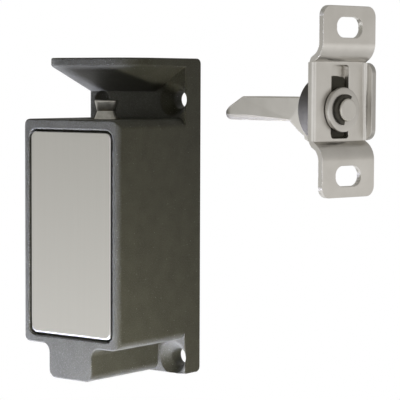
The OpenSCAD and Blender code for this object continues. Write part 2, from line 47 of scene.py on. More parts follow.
MM = 0.001
WHITE = (1, 1, 1)

# Places on the lock, from the part's source
AXIS_Y = -18.6 * MM
FRONT = -32.4 * MM
COVER_SINK = 0.1 * MM
COVER_W, COVER_H, COVER_T, COVER_R = 26.0 * MM, 50.4 * MM, 1.4 * MM, 1.6 * MM
COVER_Z = -3.5 * MM

# The keeper's own frame, on a door that stands ajar
DOOR_HINGE = (30.6 * MM, -251.6 * MM, 28.05 * MM)
DOOR_TURN = math.radians(-11)
HINGE_REACH = 233 * MM
DOOR = Matrix.Translation(DOOR_HINGE) \
    @ Matrix.Rotation(DOOR_TURN, 4, "Z") \
    @ Matrix.Translation((0, HINGE_REACH, 0))
DOOR_BACK = DOOR.inverted()

# Places on the keeper, in its own frame and in millimetres, and the clip's gap in degrees
MIDDLE_Z, MIDDLE_HALF = 1.8, 9
BEND_ENDS = (-7.0, 10.6)
BEND_X, FLANGE_Y, WING_Y = -2.9, -8.4, 8.2
FLANGE_BEND, WING_BEND = 1.1, 0.8
FLANGE_BACK = -4.75
BAR_LOW, BAR_HALF = -2.8, 3.9
BORE_X, BORE_R, BORE_DEEP, BORE_SEEN = -30.6, 3.3, 4.6, 3.3
SLOPE_BACK, SLOPE_TIP = Vector((-31.1, 0, 2.8)), Vector((-38.2, 0, -0.9))
HEEL_START, HEEL_BACK, HEEL_LOW = -15.5, -11.2, -7.2
STUD_START, STUD_END, STUD_R = -6.5, -0.1, 2.57
BUMPER_FRONT = -4.4
WASHER_R, WASHER_BACK, WASHER_FRONT = 5.1, -2.8, -1.5
CLIP_R, CLIP_FRONT = 3.5, -0.8
# The clip's gap is turned so that its dark ring shows only where the groove's shade is painted
CLIP_GAP = (-10, 150)

# How meshes are cleaned: distances at which points merge, and angles
SEAM, TOUCH = 2e-6, 1e-6
FLAT, SHARP = math.radians(0.6), math.radians(25)

# Camera, at the photograph's angle: turns in degrees, picture width and focal length in pixels
CAMERA_TURN, CAMERA_TILT, CAMERA_ROLL = 37.511, 3.873, 0.229
CAMERA_PLACE = Vector((291.55, -359.60, 34.74)) * MM
SENSOR_WIDTH, PICTURE_WIDTH, FOCAL_LENGTH = 36, 400, 1781.58


def set_camera():
    turn, tilt, roll = map(math.radians, (CAMERA_TURN, CAMERA_TILT, CAMERA_ROLL))
    back = Vector((math.sin(turn) * math.cos(tilt), -math.cos(turn) * math.cos(tilt),
                   math.sin(tilt)))
    right = Vector((math.cos(turn), math.sin(turn), 0))
    up = back.cross(right)
    across = right * math.cos(roll) + up * math.sin(roll)
    upward = up * math.cos(roll) - right * math.sin(roll)
    data = bpy.data.cameras.new("photo_camera")
    data.sensor_width = SENSOR_WIDTH
    data.lens = SENSOR_WIDTH * FOCAL_LENGTH / PICTURE_WIDTH
    data.clip_start = 0.01
    data.clip_end = 50
    camera = bpy.data.objects.new("photo_camera", data)
    scene.collection.objects.link(camera)
    place = Matrix((across, upward, back)).transposed().to_4x4()
    place.translation = CAMERA_PLACE
    camera.matrix_world = place
    scene.camera = camera


# Nodes that the studio and the finishes share
def with_alpha(colour):
    return (*colour, 1.0)


def feed(tree, value, socket):
    """Puts a number or a colour on a socket, or joins a node's output to it."""
    if isinstance(value, (int, float)):
        socket.default_value = value
    elif isinstance(value, tuple):
        socket.default_value = with_alpha(value)
    else:
        tree.links.new(value, socket)


def added(tree, kind, **settings):
    """A new node, its inputs fed by name, with _ for a space."""
    node = tree.nodes.new(kind)
    for name, value in settings.items():
        feed(tree, value, node.inputs[name.replace("_", " ")])
    return node


def colour_ramp(tree, value, stops):
    """The colour that a value has on a ramp of (place, colour) stops."""
    node = added(tree, "ShaderNodeValToRGB", Fac=value)
    marks = node.color_ramp.elements
    marks.remove(marks[1])
    marks[0].position = stops[0][0]
    marks[0].color = with_alpha(stops[0][1])
    for where, shade in stops[1:]:
        marks.new(where).color = with_alpha(shade)
    return node.outputs["Color"]


def colour_mix(tree, amount, first, second):
    node = added(tree, "ShaderNodeMix")
    node.data_type = "RGBA"
    factor = [s for s in node.inputs if s.name == "Factor" and s.type == "VALUE"][0]
    colours = [s for s in node.inputs if s.type == "RGBA"]
    for value, socket in zip((amount, first, second), (factor, *colours)):
        feed(tree, value, socket)
    return [s for s in node.outputs if s.type == "RGBA"][0]


def shader_mix(tree, share, first, second):
    node = added(tree, "ShaderNodeMixShader")
    for out, socket in zip((share, first, second), node.inputs):
        feed(tree, out, socket)
    return node.outputs[0]


# Studio: white all round for the camera, a softer grey room for reflections
ROOM_TOP = 0.6
LIT_SIDE = ((0.0, (1.0, 1.0, 1.0)), (0.2, (1.0, 1.0, 1.0)), (0.34, (1.0, 1.0, 0.99)),
            (0.385, (0.9, 0.895, 0.88)), (0.43, (0.65, 0.645, 0.63)), (0.49, (0.43, 0.425, 0.4)),
            (0.58, (0.45, 0.445, 0.42)), (0.72, (0.47, 0.46, 0.44)), (1.0, (0.4, 0.4, 0.38)))
FAR_SIDE = ((0.0, (0.6, 0.59, 0.57)), (0.2, (0.8, 0.79, 0.77)), (0.34, (1.0, 0.99, 0.97)),
            (0.42, (0.81, 0.795, 0.775)), (0.49, (0.64, 0.625, 0.595)),
            (0.58, (0.55, 0.535, 0.51)), (0.72, (0.5, 0.49, 0.47)), (1.0, (0.44, 0.43, 0.41)))
FILL_COLOUR, FILL_LEVEL = (1.0, 0.97, 0.75), 0.02
FLOOR_SIZE, FLOOR_Z = 40, -0.6


def set_room():
    world = bpy.data.worlds.new("studio")
    scene.world = world
    world.use_nodes = True
    tree = world.node_tree
    tree.nodes.clear()
    way = added(tree, "ShaderNodeTexCoord").outputs["Generated"]
    split = added(tree, "ShaderNodeSeparateXYZ", Vector=way)
    height = added(tree, "ShaderNodeMapRange", Value=split.outputs["Z"],
                   From_Min=-ROOM_TOP, From_Max=ROOM_TOP).outputs["Result"]

    def towards(direction, least, most):
        """Rises from 0 to 1 as the way looked comes close to a direction."""
        along = added(tree, "ShaderNodeVectorMath")
        along.operation = "DOT_PRODUCT"
        tree.links.new(way, along.inputs[0])
        along.inputs[1].default_value = Vector(direction).normalized()
        share = added(tree, "ShaderNodeMapRange", Value=along.outputs["Value"],
                      From_Min=least, From_Max=most)
        share.interpolation_type = "SMOOTHSTEP"
        return share.outputs["Result"]

    sides = colour_mix(tree, towards((-0.78, -0.62, 0), -0.35, 0.45),
                       colour_ramp(tree, height, FAR_SIDE), colour_ramp(tree, height, LIT_SIDE))
    front_lit = colour_mix(tree, towards((0.16, -0.99, 0), 0.86, 0.98), sides, WHITE)
    room_shade = colour_mix(tree, towards((0.94, -0.34, 0), 0.93, 0.99), front_lit, WHITE)
    room = added(tree, "ShaderNodeBackground", Color=room_shade)
    fill = added(tree, "ShaderNodeBackground", Color=FILL_COLOUR, Strength=FILL_LEVEL)
    white = added(tree, "ShaderNodeBackground", Color=WHITE)
    path = added(tree, "ShaderNodeLightPath").outputs
    clear = added(tree, "ShaderNodeMath")
    clear.operation = "MAXIMUM"
    tree.links.new(path["Is Camera Ray"], clear.inputs[0])
    tree.links.new(path["Is Transmission Ray"], clear.inputs[1])
    shiny = shader_mix(tree, path["Is Glossy Ray"], fill.outputs[0], room.outputs[0])
    seen = shader_mix(tree, clear.outputs[0], shiny, white.outputs[0])
    added(tree, "ShaderNodeOutputWorld", Surface=seen)


def pale_floor():
    bpy.ops.object.select_all(action="DESELECT")
    bpy.ops.mesh.primitive_plane_add(size=FLOOR_SIZE, location=(0, 0, FLOOR_Z))
    floor = bpy.context.object
    floor.name = "floor"
    mat = bpy.data.materials.new("floor_paper")
    mat.use_nodes = True
    tree = mat.node_tree
    paper = tree.nodes["Principled BSDF"]
    paper.inputs["Base Color"].default_value = (0.86, 0.86, 0.85, 1)
    paper.inputs["Roughness"].default_value = 0.9
    path = added(tree, "ShaderNodeLightPath").outputs
    glow = added(tree, "ShaderNodeEmission", Color=WHITE)
    seen = shader_mix(tree, path["Is Camera Ray"], paper.outputs[0], glow.outputs[0])
    tree.links.new(seen, tree.nodes["Material Output"].inputs["Surface"])
    floor.data.materials.append(mat)
    floor.visible_glossy = False
    floor.visible_diffuse = False


# Lamps: name, place, aim, size, watts and colour
COOL = (0.74, 0.765, 1.0)
LAMPS = (
    ("left_card", (-0.13, -0.03, -0.2), (0, -0.03, 0), 0.08, 1.36, COOL),
    ("low_card", (-0.02, -0.12, -0.165), (0, -0.03, -0.02), 0.09, 1.05, COOL),
    ("left_lamp", (-0.55, -0.16, 0.02), (0, -0.03, 0.03), 0.25, 1.1, (0.92, 0.93, 1)),
    ("right_card", (0.072, -0.075, -0.075), (0.016, -0.025, -0.03), 0.03, 0.062, (1, 0.96, 0.78)),
    ("right_lamp", (0.7, -0.3, 0.1), (0, -0.02, 0), 0.4, 0.24, (1, 0.93, 0.45)),
    ("back_lamp", (-0.35, 0.9, 0.5), (0, 0, 0), 0.7, 4.0, WHITE),
    ("top_lamp", (0.05, 0.25, 1.1), (0.02, -0.02, 0), 0.8, 3.0, WHITE),
)


def soft_lamp(name, place, aim, size, power, colour):
    data = bpy.data.lights.new(name, "AREA")
    data.shape = "DISK"
    data.size = size
    data.energy = power
    data.color = colour
    lamp = bpy.data.objects.new(name, data)
    scene.collection.objects.link(lamp)
    lamp.location = place
    lamp.visible_camera = False
    lamp.visible_glossy = False
    lamp.rotation_euler = (Vector(aim) - Vector(place)).to_track_quat("-Z", "Y").to_euler()


set_camera()
set_room()
pale_floor()
for lamp_row in LAMPS:
    soft_lamp(*lamp_row)


# Finishes
class Finish:
    """A material with its shader, and short ways to add and join nodes."""

    def __init__(self, name, rough, metal=0.0, gloss=0.5):
        self.mat = bpy.data.materials.new(name)
        self.mat.use_nodes = True
        self.tree = self.mat.node_tree
        self.shader = self.tree.nodes["Principled BSDF"].inputs
        self.shader["Roughness"].default_value = rough
        self.shader["Metallic"].default_value = metal
        self.shader["Specular IOR Level"].default_value = gloss
        self.place = added(self.tree, "ShaderNodeTexCoord").outputs["Object"]

    def stretched(self, scale):
        node = added(self.tree, "ShaderNodeMapping", Vector=self.place)
        node.inputs["Scale"].default_value = scale
        return node.outputs["Vector"]

    def noise(self, scale, detail, rough, place=None):
        return added(self.tree, "ShaderNodeTexNoise", Vector=place or self.place, Scale=scale,
                     Detail=detail, Roughness=rough).outputs["Fac"]

    def cells(self, scale):
        node = added(self.tree, "ShaderNodeTexVoronoi", Vector=self.place, Scale=scale)
        return node.outputs["Distance"], node.outputs["Color"]

    def steps(self, value, *stops):
        return colour_ramp(self.tree, value, stops)

    def mixed(self, amount, first, second):
        return colour_mix(self.tree, amount, first, second)

    def counted(self, how, first, second):
        node = added(self.tree, "ShaderNodeMath")
        node.operation = how
        feed(self.tree, first, node.inputs[0])
        feed(self.tree, second, node.inputs[1])
        return node.outputs[0]

    def colour(self, out):
        feed(self.tree, out, self.shader["Base Color"])

    def roughness(self, value, low, high):
        node = added(self.tree, "ShaderNodeMapRange", Value=value, To_Min=low, To_Max=high)
        feed(self.tree, node.outputs["Result"], self.shader["Roughness"])

    def relief(self, value, depth, strength):
        node = added(self.tree, "ShaderNodeBump", Height=value, Distance=depth, Strength=strength)
        feed(self.tree, node.outputs["Normal"], self.shader["Normal"])


def grey(level):
    return (level, level, level)


def speckled_coat(name, worn=0.0):
    """Charcoal powder coat with a fine grain and pale specks, more of them on worn edges."""
    f = Finish(name, rough=0.5, gloss=0.2)
    cloud = f.noise(240, 2, 0.5)
    grain = f.noise(4300, 2, 0.65)
    ground = f.steps(cloud, (0.3, (0.1, 0.099, 0.081)), (0.7, (0.124, 0.123, 0.102)))
    grainy = f.mixed(f.steps(grain, (0.5, grey(0)), (0.72, grey(0.75))), ground,
                     (0.215, 0.215, 0.2))
    near, tint = f.cells(2300)
    small = f.steps(near, (0.1, grey(1)), (0.26, grey(0)))
    few = f.steps(tint, (0.78 - 0.25 * worn, grey(0)), (0.84 - 0.25 * worn, grey(1)))
    specks = f.counted("MULTIPLY", small, few)
    speckled = f.mixed(specks, grainy, (0.52, 0.525, 0.52))
    if worn:
        rubbed = f.steps(f.noise(1500, 4, 0.7), (0.5, grey(0)), (0.7, grey(worn)))
        speckled = f.mixed(rubbed, speckled, (0.2, 0.2, 0.195))
    f.colour(speckled)
    f.roughness(grain, 0.44, 0.6)
    peel = f.noise(2300, 3, 0.6)
    f.relief(f.counted("ADD", peel, grain), 0.012 * MM, 0.4)
    return f.mat


def brushed_nickel():
    """Pale nickel, brushed upright."""
    f = Finish("brushed_nickel", rough=0.36, metal=1.0)
    fine = f.noise(1, 3, 0.7, f.stretched((9000, 9000, 60)))
    broad = f.noise(1, 2, 0.5, f.stretched((900, 900, 14)))
    both = f.counted("ADD", f.counted("MULTIPLY", fine, 0.7), f.counted("MULTIPLY", broad, 0.3))
    f.colour(f.steps(both, (0.3, (0.68, 0.668, 0.636)), (0.7, (0.704, 0.692, 0.659))))
    f.roughness(both, 0.26, 0.31)
    f.relief(both, 0.003 * MM, 0.22)
    return f.mat


def satin_nickel(name, deep=1.0):
    """Tumbled satin nickel plate on pressed steel."""
    f = Finish(name, rough=0.32, metal=1.0)
    cloud = f.noise(180, 3, 0.55)
    tumbled = f.noise(2400, 4, 0.6)
    f.colour(f.steps(cloud, (0.3, (0.66 * deep, 0.64 * deep, 0.605 * deep)),
                     (0.7, (0.73 * deep, 0.71 * deep, 0.675 * deep))))
    f.roughness(tumbled, 0.24, 0.4)
    f.relief(tumbled, 0.01 * MM, 0.35)
    return f.mat


def rubbed_nickel(name, metal, warm=0.0):
    """Bare bright metal where an edge is rubbed or sheared, paler and duller than the plate."""
    f = Finish(name, rough=0.5, metal=metal)
    scuffs = f.noise(5200, 3, 0.6)
    f.colour(f.steps(scuffs, (0.3, (0.72, 0.715 - 0.3 * warm, 0.7 - warm)),
                     (0.7, (0.78, 0.775 - 0.3 * warm, 0.76 - warm))))
    f.roughness(scuffs, 0.42, 0.6)
    f.relief(scuffs, 0.005 * MM, 0.3)
    return f.mat


def turned_steel():
    """Turned steel of the bolt, with fine rings and a little tarnish."""
    f = Finish("turned_steel", rough=0.34, metal=1.0)
    rings = f.noise(1, 2, 0.6, f.stretched((40, 40, 9000)))
    dull = f.noise(700, 3, 0.6)
    f.colour(f.steps(dull, (0.35, (0.42, 0.41, 0.37)), (0.7, (0.58, 0.57, 0.53))))
    f.roughness(rings, 0.26, 0.46)
    f.relief(rings, 0.012 * MM, 0.5)
    return f.mat


def black_rubber(name):
    """Moulded black rubber with a faint bloom."""
    f = Finish(name, rough=0.6)
    bloom = f.noise(320, 3, 0.6)
    pores = f.noise(4200, 2, 0.5)
    f.colour(f.steps(bloom, (0.3, (0.095, 0.09, 0.078)), (0.75, (0.145, 0.138, 0.12))))
    f.roughness(pores, 0.5, 0.72)
    f.relief(pores, 0.02 * MM, 0.5)
    return f.mat


def plain_metal(name, dark, light, rough):
    """The clip and the inner metal pieces: soft iron, plated strap, spring wire, bronze."""
    f = Finish(name, rough=rough, metal=1.0)
    cloud = f.noise(900, 3, 0.6)
    f.colour(f.steps(cloud, (0.3, dark), (0.7, light)))
    f.roughness(cloud, rough - 0.07, rough + 0.09)
    f.relief(f.noise(3600, 2, 0.5), 0.01 * MM, 0.4)
    return f.mat


def moulded(name, dark, light, rough=0.5):
    """Inner moulded pieces: nylon, phenolic, foam, circuit board."""
    f = Finish(name, rough=rough)
    cloud = f.noise(1400, 3, 0.6)
    f.colour(f.steps(cloud, (0.3, dark), (0.7, light)))
    f.roughness(cloud, rough - 0.08, rough + 0.1)
    f.relief(f.noise(5000, 2, 0.5), 0.015 * MM, 0.4)
    return f.mat


def wound_copper():
    """Enamelled wire, wound in close turns about the upright axis."""
    f = Finish("wound_copper", rough=0.3, metal=0.85)
    wave = added(f.tree, "ShaderNodeTexWave", Vector=f.place, Scale=900, Distortion=0.4)
    wave.wave_type = "BANDS"
    wave.bands_direction = "Z"
    turns = wave.outputs["Fac"]
    f.colour(f.steps(turns, (0.1, (0.32, 0.1, 0.035)), (0.8, (0.66, 0.27, 0.11))))
    f.roughness(turns, 0.42, 0.26)
    f.relief(turns, 0.05 * MM, 0.8)
    return f.mat


# Making of pieces
def clear_selection():
    if bpy.context.object and bpy.context.object.mode != "OBJECT":
        bpy.ops.object.mode_set(mode="OBJECT")
    bpy.ops.object.select_all(action="DESELECT")


def take_up(piece):
    clear_selection()
    bpy.context.view_layer.objects.active = piece
    piece.select_set(True)
    return piece


def open_up(piece, what):
    """Takes a piece into edit mode to pick its edges or faces, with nothing picked yet."""
    take_up(piece)
    bpy.ops.object.mode_set(mode="EDIT")
    bpy.ops.mesh.select_mode(type=what)
    bpy.ops.mesh.select_all(action="DESELECT")


def made_whole(merge=0.0):
    """Makes the flat faces of the piece in hand whole, its doubled points merged if asked."""
    bpy.ops.object.mode_set(mode="EDIT")
    bpy.ops.mesh.select_all(action="SELECT")
    if merge:
        bpy.ops.mesh.remove_doubles(threshold=merge)
    bpy.ops.mesh.dissolve_limited(angle_limit=FLAT)
    bpy.ops.object.mode_set(mode="OBJECT")


def faced_outwards(merge=0.0):
    """Points the faces of the piece in hand outwards, its doubled points merged if asked."""
    bpy.ops.object.mode_set(mode="EDIT")
    bpy.ops.mesh.select_all(action="SELECT")
    if merge:
        bpy.ops.mesh.remove_doubles(threshold=merge)
    bpy.ops.mesh.normals_make_consistent(inside=False)
    bpy.ops.object.mode_set(mode="OBJECT")


def copied_solid(node, name):
    """A copy of a CAD solid, its seams merged and its flat faces made whole."""
    clear_selection()
    piece = bpy.data.objects.new(name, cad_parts[node].data.copy())
    scene.collection.objects.link(piece)
    piece.data.materials.clear()
    take_up(piece)
    made_whole(SEAM)
    return piece


def edge_middle(edge):
    return (edge.verts[0].co + edge.verts[1].co) / 2


def sharp(edge):
    return edge.is_manifold and edge.calc_face_angle(0) > SHARP


def eased(piece, width_of, steps, edge_mat=None):
    """Rounds each sharp edge by width_of(edge, middle) in one pass, in a finish of its own if given."""
    take_up(piece)
    mesh = bmesh.new()
    mesh.from_mesh(piece.data)
    mesh.edges.ensure_lookup_table()
    widths = [width_of(e, edge_middle(e)) if sharp(e) else 0.0 for e in mesh.edges]
    mesh.free()
    widest = max(widths)
    weights = piece.data.attributes.new("bevel_weight_edge", "FLOAT", "EDGE")
    weights.data.foreach_set("value", [w / widest for w in widths])
    mod = piece.modifiers.new("eased", "BEVEL")
    mod.width = widest
    mod.segments = steps
    mod.limit_method = "WEIGHT"
    mod.use_clamp_overlap = False
    mod.miter_outer = "MITER_ARC"
    if edge_mat:
        piece.data.materials.append(None)
        piece.data.materials.append(edge_mat)
        mod.material = 1
    bpy.ops.object.modifier_apply(modifier="eased")
    return piece


def rounded(piece, chosen, width, steps):
    """Rounds the edges for which chosen(edge) is true by one width."""
    open_up(piece, "EDGE")
    mesh = bmesh.from_edit_mesh(piece.data)
    for edge in mesh.edges:
        edge.select = chosen(edge)
    mesh.select_flush_mode()
    bmesh.update_edit_mesh(piece.data)
    bpy.ops.mesh.bevel(offset=width, segments=steps, affect="EDGES", clamp_overlap=False)
    bpy.ops.object.mode_set(mode="OBJECT")
    return piece


def emptied(piece, chosen):
    """Deletes the faces for which chosen(face) is true and picks the rims that they leave."""
    open_up(piece, "FACE")
    mesh = bmesh.from_edit_mesh(piece.data)
    for face in mesh.faces:
        face.select = chosen(face)
    bmesh.update_edit_mesh(piece.data)
    bpy.ops.mesh.delete(type="FACE")
    bpy.ops.mesh.select_mode(type="EDGE")
    bpy.ops.mesh.select_non_manifold()


def sliced(piece, point, outward):
    """Cuts away what lies beyond a plane and closes the cut."""
    take_up(piece)
    bpy.ops.object.mode_set(mode="EDIT")
    bpy.ops.mesh.select_all(action="SELECT")
    bpy.ops.mesh.bisect(plane_co=point, plane_no=outward, use_fill=True, clear_outer=True)
    made_whole()
    return piece


def joined(piece, other, how):
    """Cuts the other piece out of the first, or unites them, and removes the other."""
    take_up(piece)
    mod = piece.modifiers.new("joined", "BOOLEAN")
    mod.operation = how
    mod.solver = "EXACT"
    mod.object = other
    bpy.ops.object.modifier_apply(modifier="joined")
    bpy.data.objects.remove(other)
    made_whole(TOUCH)
    return piece


def smooth(piece, angle=35):
    """Smooth shading up to the given angle, with flat faces kept flat up to their eased edges."""
    take_up(piece)
    bpy.ops.object.shade_smooth_by_angle(angle=math.radians(angle))
    mod = piece.modifiers.new("even", "WEIGHTED_NORMAL")
    mod.keep_sharp = True
    mod.weight = 80
    bpy.ops.object.modifier_apply(modifier="even")
    return piece


def dressed(piece, mat, body, slot, *nodes):
    """Gives a piece its finish, with its body and the nodes that it stands for; its slot is not used.
    """
    if len(piece.data.materials) > 1:
        piece.data.materials[0] = mat
    else:
        piece.data.materials.clear()
        piece.data.materials.append(mat)
    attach(piece, body)
    if nodes:
        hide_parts(*nodes)
    return piece


def turned(name, profile, sides, closed=False):
    """A turned piece about the Z axis, drawn out ring by ring from (radius, height) pairs."""
    clear_selection()
    radius, height = profile[0]
    bpy.ops.mesh.primitive_circle_add(vertices=sides, radius=radius,
                                      fill_type="NOTHING" if closed else "NGON",
                                      location=(0, 0, height))
    piece = bpy.context.object
    piece.name = name
    bpy.ops.object.transform_apply(location=True, rotation=True, scale=True)
    bpy.ops.object.mode_set(mode="EDIT")
    bpy.ops.mesh.select_mode(type="EDGE")
    bpy.ops.mesh.select_all(action="SELECT")
    for wide, tall in list(profile[1:]) + ([profile[0]] if closed else []):
        bpy.ops.mesh.extrude_region_move(
            TRANSFORM_OT_translate={"value": (0, 0, tall - height)})
        bpy.ops.transform.resize(value=(wide / radius, wide / radius, 1),
                                 center_override=(0, 0, tall))
        radius, height = wide, tall
    faced_outwards(TOUCH)
    return piece


def set_down(piece, place):
    """Puts the place into the mesh and leaves the object at the origin."""
    piece.data.transform(place)
    piece.data.update()
    return piece


def in_metres(pairs):
    return [(a * MM, b * MM) for a, b in pairs]


COAT = speckled_coat("speckled_coat")
RUBBED = speckled_coat("rubbed_coat", 0.8)
NICKEL = satin_nickel("satin_nickel")
BARE = rubbed_nickel("rubbed_nickel", 0.5)
WORN = rubbed_nickel("worn_nickel", 0.76, 0.08)
RUBBER = black_rubber("black_rubber")


# The die-cast case, its edges eased, and a little rubbed round the cover's recess
def case_piece():
    piece = copied_solid("case", "case_shell")
    ease, reach, deep = 0.42 * MM, 1.5 * MM, MM
    ring_middle = Vector((11.87, -6.4, -36.44)) * MM
    ring_inner, ring_outer, skin = 2.7 * MM, 4.25 * MM, 0.05 * MM

    def case_edge(edge, middle):
        """Convex edges are eased, but not the lower sink's rim where it breaks out of the foot."""
        off = middle - ring_middle
        on_rim = ring_inner < math.hypot(off.x, off.z) < ring_outer and off.y > -skin
        return ease if edge.is_convex and not on_rim else 0.0

    def by_recess(spot):
        beside = abs(spot.x) < COVER_W / 2 + reach
        level = abs(spot.z - COVER_Z) < COVER_H / 2 + reach
        return beside and level and spot.y < FRONT + deep

    eased(piece, case_edge, 4, edge_mat=RUBBED)
    for face in piece.data.polygons:
        if not by_recess(face.center):
            face.material_index = 0
    return smooth(piece)


dressed(case_piece(), COAT, "lock", "case", "case")


# The front cover: a plate with round corners and a bevelled edge, rubbed bare along its foot
def cover_plate():
    front_face, foot = FRONT + COVER_SINK, COVER_Z - COVER_H / 2 + COVER_R
    foot_edge, other_edge = 0.5 * MM, 0.25 * MM
    clear_selection()
    back = FRONT + COVER_SINK + COVER_T
    bpy.ops.mesh.primitive_cube_add(size=1, location=(0, back - COVER_T / 2, COVER_Z))
    piece = bpy.context.object
    piece.name = "cover_plate"
    piece.scale = (COVER_W, COVER_T, COVER_H)
    bpy.ops.object.transform_apply(location=True, rotation=True, scale=True)
    rounded(piece, lambda e: abs((e.verts[0].co - e.verts[1].co).y) > COVER_T / 2, COVER_R, 8)

    def front_edge(edge, middle):
        if abs(middle.y - front_face) > TOUCH:
            return 0.0
        return foot_edge if middle.z < foot else other_edge

    eased(piece, front_edge, 4, edge_mat=BARE)
    for face in piece.data.polygons:
        if face.center.z > foot:
            face.material_index = 0
    return smooth(piece, 40)


dressed(cover_plate(), brushed_nickel(), "lock", "front_cover", "front_cover")


# The bolt, turned in one piece: radius and height in millimetres
def bolt_piece():
    stem = [(2.0, 2.3), (2.0, 18.75)]
    shank = [(3.0, 18.8), (3.0, 24.75), (2.96, 24.9)]
    waist = [(2.38, 26.5), (2.32, 26.62), (2.3, 26.7), (2.32, 26.78), (2.38, 26.9)]
    head = [(2.88, 29.0), (2.92, 29.2), (2.9, 29.32), (2.82, 29.46), (2.7, 29.54)]
    crown = [(2.55, 29.55), (0.05, 29.55)]
    piece = turned("bolt_turned", in_metres(stem + shank + waist + head + crown), 96)
    set_down(piece, Matrix.Translation((0, AXIS_Y, 0)))
    return smooth(piece, 30)


dressed(bolt_piece(), turned_steel(), "bolt", "bolt", "bolt")


# The grommet of the cable outlet, its ends rounded inside and out
def grommet_piece():
    wall, soft, fine = 1.18 * MM, 0.4 * MM, 0.12 * MM
    box_low, box_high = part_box("outlet_grommet")
    mid = [(a + b) / 2 for a, b in zip(box_low, box_high)]
    out = (box_high[0] - box_low[0]) / 2
    bore = out - wall
    tall = box_high[2] - box_low[2]
    profile = [(bore, soft), (bore + fine, fine), (bore + soft, 0),
               (out - soft, 0), (out - fine, fine), (out, soft),
               (out, tall - soft), (out - fine, tall - fine), (out - soft, tall),
               (bore + soft, tall), (bore + fine, tall - fine), (bore, tall - soft)]
    piece = turned("grommet_bush", profile, 64, closed=True)
    set_down(piece, Matrix.Translation((mid[0], mid[1], box_low[2])))
    return smooth(piece, 40)


dressed(grommet_piece(), black_rubber("grommet_rubber"), "lock", "outlet_grommet", "outlet_grommet")


# The keeper: what follows is given in its own frame, in millimetres
def in_keeper(point):
    """A point of the part, seen in the keeper's frame."""
    return DOOR_BACK @ point / MM


def from_keeper(point):
    """A point of the keeper's frame, put into the part."""
    return DOOR @ (Vector(point) * MM)


def keeper_way(direction):
    return DOOR.to_3x3() @ Vector(direction)


def drawn_out(name, outline, start, reach):
    """A solid drawn out from a flat outline: start places its points, reach is the way drawn."""
    clear_selection()
    bpy.ops.mesh.primitive_plane_add(size=1)
    piece = bpy.context.object
    piece.name = name
    bpy.ops.object.mode_set(mode="EDIT")
    mesh = bmesh.from_edit_mesh(piece.data)
    bmesh.ops.delete(mesh, geom=mesh.verts, context="VERTS")
    mesh.faces.new([mesh.verts.new(start(a, b)) for a, b in outline])
    bmesh.update_edit_mesh(piece.data)
    bpy.ops.mesh.select_all(action="SELECT")
    bpy.ops.mesh.extrude_region_move(TRANSFORM_OT_translate={"value": reach})
    faced_outwards()
    return set_down(piece, DOOR @ Matrix.Scale(MM, 4))


def bend_fill(name, corner, radius, inward):
    """The sliver between a sharp bend and a round one."""
    low, high = BEND_ENDS
    skin, parts = 0.03, 12
    centre = Vector((corner[0] + inward[0] * radius, corner[1] + inward[1] * radius))
    outline = [(corner[0] - inward[0] * skin, corner[1] - inward[1] * skin),
               (centre.x, corner[1] - inward[1] * skin)]
    for step in range(parts + 1):
        turn = math.radians(90 * step / parts)
        outline.append((centre.x - inward[0] * radius * math.sin(turn),
                        centre.y - inward[1] * radius * math.cos(turn)))
    outline.append((corner[0] - inward[0] * skin, centre.y))
    return drawn_out(name, outline, lambda x, y: (x, y, low), (0, 0, high - low))


# The pressed sheet: the left bend is rounded off outside, the right one filled inside, and the wing
# darkened with painted shade
def sheet_piece():
    ease, shortest, end_zone = 0.16 * MM, 0.12 * MM, 0.06
    wing_start, wing_back = 8.3, -3.4
    sideways, downwards = 0.8, -0.2
    piece = copied_solid("keeper_plate", "keeper_sheet")
    sliced(piece, from_keeper((FLANGE_BACK, 0, 0)), keeper_way((-1, 0, 0)))
    joined(piece, bend_fill("flange_bend", (BEND_X, FLANGE_Y), FLANGE_BEND, (-1, 1)), "DIFFERENCE")
    joined(piece, bend_fill("wing_bend", (BEND_X, WING_Y), WING_BEND, (1, -1)), "UNION")

    def sheet_edge(edge, middle):
        """Ends of the bends stay as they are sheared, every other edge is eased."""
        height = in_keeper(middle).z
        at_end = min(abs(height - end) for end in BEND_ENDS) < end_zone
        return 0.0 if at_end or edge.calc_length() < shortest else ease

    eased(piece, sheet_edge, 3)
    piece.data.materials.append(None)
    piece.data.materials.append(rubbed_nickel("sheared_nickel", 0.62, 0.06))
    # A darker copy of the satin nickel for the wing's faces: painted shade, not a finish of its own
    piece.data.materials.append(satin_nickel("wing_painted_shade_nickel", 0.72))
    for face in piece.data.polygons:
        facing = DOOR_BACK.to_3x3() @ face.normal
        spot = in_keeper(face.center)
        off_middle = abs(spot.z - MIDDLE_Z)
        if off_middle > MIDDLE_HALF and abs(facing.y) > sideways and facing.z > downwards:
            face.material_index = 1
        # The wing's faces take the darker copy, as painted shade
        if off_middle < MIDDLE_HALF and spot.y > wing_start and spot.x > wing_back:
            face.material_index = 2
    return smooth(piece)


dressed(sheet_piece(), NICKEL, "keeper", "keeper_plate", "keeper_plate")


# The tongue with its stud: the nose cut on a slope, the lower edges well rounded
def without_bore(piece):
    """Closes the strike bore, so that the edges about it can be eased."""
    def in_bore(point):
        p = in_keeper(point)
        level = BAR_LOW - 0.01 < p.z < BAR_LOW + BORE_DEEP + 0.01
        return level and math.hypot(p.x - BORE_X, p.y) < BORE_R + 0.02

    emptied(piece, lambda face: all(in_bore(v.co) for v in face.verts))
    bpy.ops.mesh.edge_face_add()
    made_whole()
    faced_outwards()


def bore_cutter():
    below = -1
    cutter = turned("bore_cutter", in_metres([(BORE_R, below), (BORE_R, BORE_SEEN)]), 64)
    set_down(cutter, DOOR @ Matrix.Translation((BORE_X * MM, 0, BAR_LOW * MM)))
    open_up(cutter, "EDGE")
    bpy.ops.mesh.select_non_manifold()
    bpy.ops.mesh.edge_face_add()
    faced_outwards()
    return cutter


